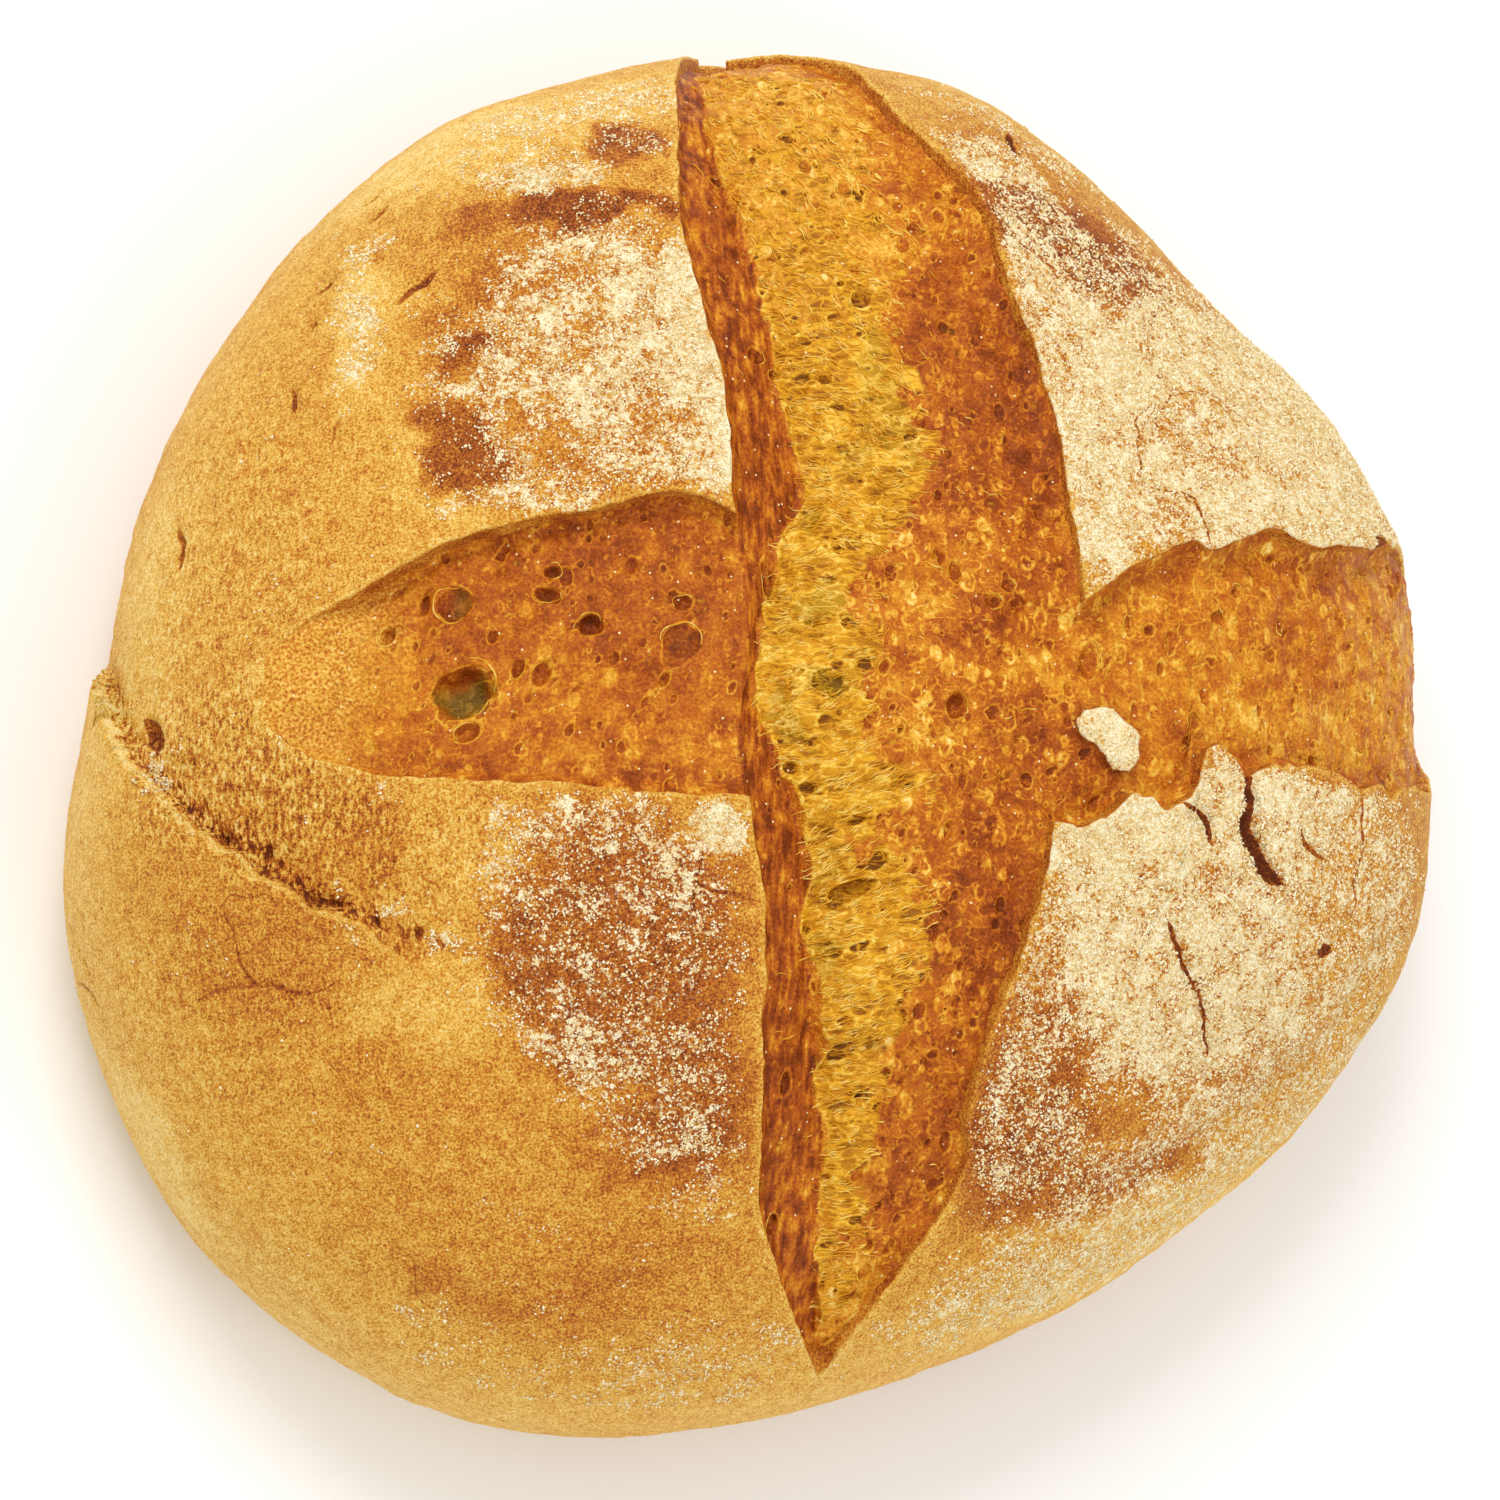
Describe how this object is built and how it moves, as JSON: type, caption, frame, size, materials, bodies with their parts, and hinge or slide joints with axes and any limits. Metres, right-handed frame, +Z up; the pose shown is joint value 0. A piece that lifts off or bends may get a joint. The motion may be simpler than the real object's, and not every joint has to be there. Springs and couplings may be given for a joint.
{
  "type": "durum wheat loaf",
  "caption": "Round flour-dusted durum wheat loaf, domed, with a flat base and a crossed slash that has opened to show torn crumb.",
  "frame": {"origin": "on the flat base, under the middle of the loaf's plan", "axes": "+Z up through the crown, +Y towards the far end of the long cut, +X towards the right arm of the short cut"},
  "size_m": [0.2435, 0.2428, 0.0896],
  "materials": {
    "crust": "matte"
  },
  "bodies": {
    "root": {"loaf": "crust"}
  },
  "joints": []
}
